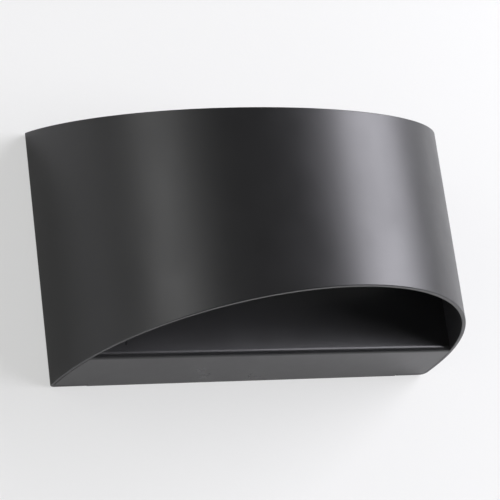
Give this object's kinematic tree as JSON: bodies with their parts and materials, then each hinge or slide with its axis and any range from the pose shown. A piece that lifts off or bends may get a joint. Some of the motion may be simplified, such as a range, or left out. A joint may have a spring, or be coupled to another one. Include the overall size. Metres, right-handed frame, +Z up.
{
  "type": "wall sconce",
  "caption": "Half-round up-and-down wall light with a bent black metal shade, a shallow rear box, opal diffusers and a wall bracket.",
  "frame": {"origin": "midway between the bracket's two wall slots, on the wall's surface", "axes": "+X along the wall, -Y out into the room, +Z up"},
  "size_m": [0.2032, 0.1016, 0.1142],
  "materials": {
    "black_powder_coat": "fine satin powder coat",
    "zinc_plated_steel": "bright zinc plate",
    "cast_aluminium": "satin, as milled",
    "black_rubber": "matt",
    "silicone_seal": "matt, slightly translucent",
    "opal_acrylic": "satin opal",
    "white_solder_mask": "glossy solder mask",
    "emitter_phosphor": "soft phosphor",
    "ivory_nylon": "moulded nylon",
    "white_plastic": "fine moulded texture",
    "green_solder_mask": "glossy solder mask",
    "winding_tape": "wound tape on ferrite",
    "capacitor_sleeve": "shrunk sleeve",
    "green_zinc": "green passivated",
    "black_insulation": "smooth insulation",
    "white_insulation": "smooth insulation",
    "green_insulation": "smooth insulation",
    "red_insulation": "smooth insulation",
    "black_zinc": "black zinc plate"
  },
  "bodies": {
    "wall_side": {"wall_bracket": "zinc_plated_steel", "bracket_studs": "zinc_plated_steel", "supply_grommet": "black_rubber", "ground_screw": "green_zinc"},
    "lamp": {"shade": "black_powder_coat", "rear_housing": "black_powder_coat", "shade_screws": "black_zinc", "led_carrier": "cast_aluminium", "carrier_screws": "zinc_plated_steel", "led_board_up": "white_solder_mask", "led_board_down": "white_solder_mask", "leds_up": "emitter_phosphor", "leds_down": "emitter_phosphor", "board_connectors": "ivory_nylon", "board_screws": "zinc_plated_steel", "lens_gasket_up": "silicone_seal", "lens_gasket_down": "silicone_seal", "diffuser_up": "opal_acrylic", "diffuser_down": "opal_acrylic", "bezel_up": "black_powder_coat", "bezel_down": "black_powder_coat", "bezel_screws": "black_zinc", "driver_case": "white_plastic", "driver_lid": "white_plastic", "driver_board": "green_solder_mask", "driver_transformer": "winding_tape", "driver_capacitors": "capacitor_sleeve", "driver_screws": "zinc_plated_steel", "terminal_block": "ivory_nylon", "terminal_screws": "zinc_plated_steel", "terminal_fixing_screw": "zinc_plated_steel", "live_lead": "black_insulation", "neutral_lead": "white_insulation", "earth_lead": "green_insulation", "earth_lug": "zinc_plated_steel", "earth_screw": "green_zinc", "positive_leads": "red_insulation", "negative_leads": "black_insulation", "lead_grommets": "black_rubber", "lead_clips": "white_plastic", "nut_washers": "black_rubber"},
    "left_nut": {"cap_nut_left": "black_powder_coat"},
    "right_nut": {"cap_nut_right": "black_powder_coat"}
  },
  "joints": [
    {"name": "lamp_off_bracket", "type": "slide", "parent": "wall_side", "child": "lamp", "axis": [0, -1, 0], "range_m": [0, 0.06]},
    {"name": "left_nut_off", "type": "slide", "parent": "lamp", "child": "left_nut", "axis": [0, -1, 0], "range_m": [0, 0.009]},
    {"name": "right_nut_off", "type": "slide", "parent": "lamp", "child": "right_nut", "axis": [0, -1, 0], "range_m": [0, 0.009]}
  ]
}
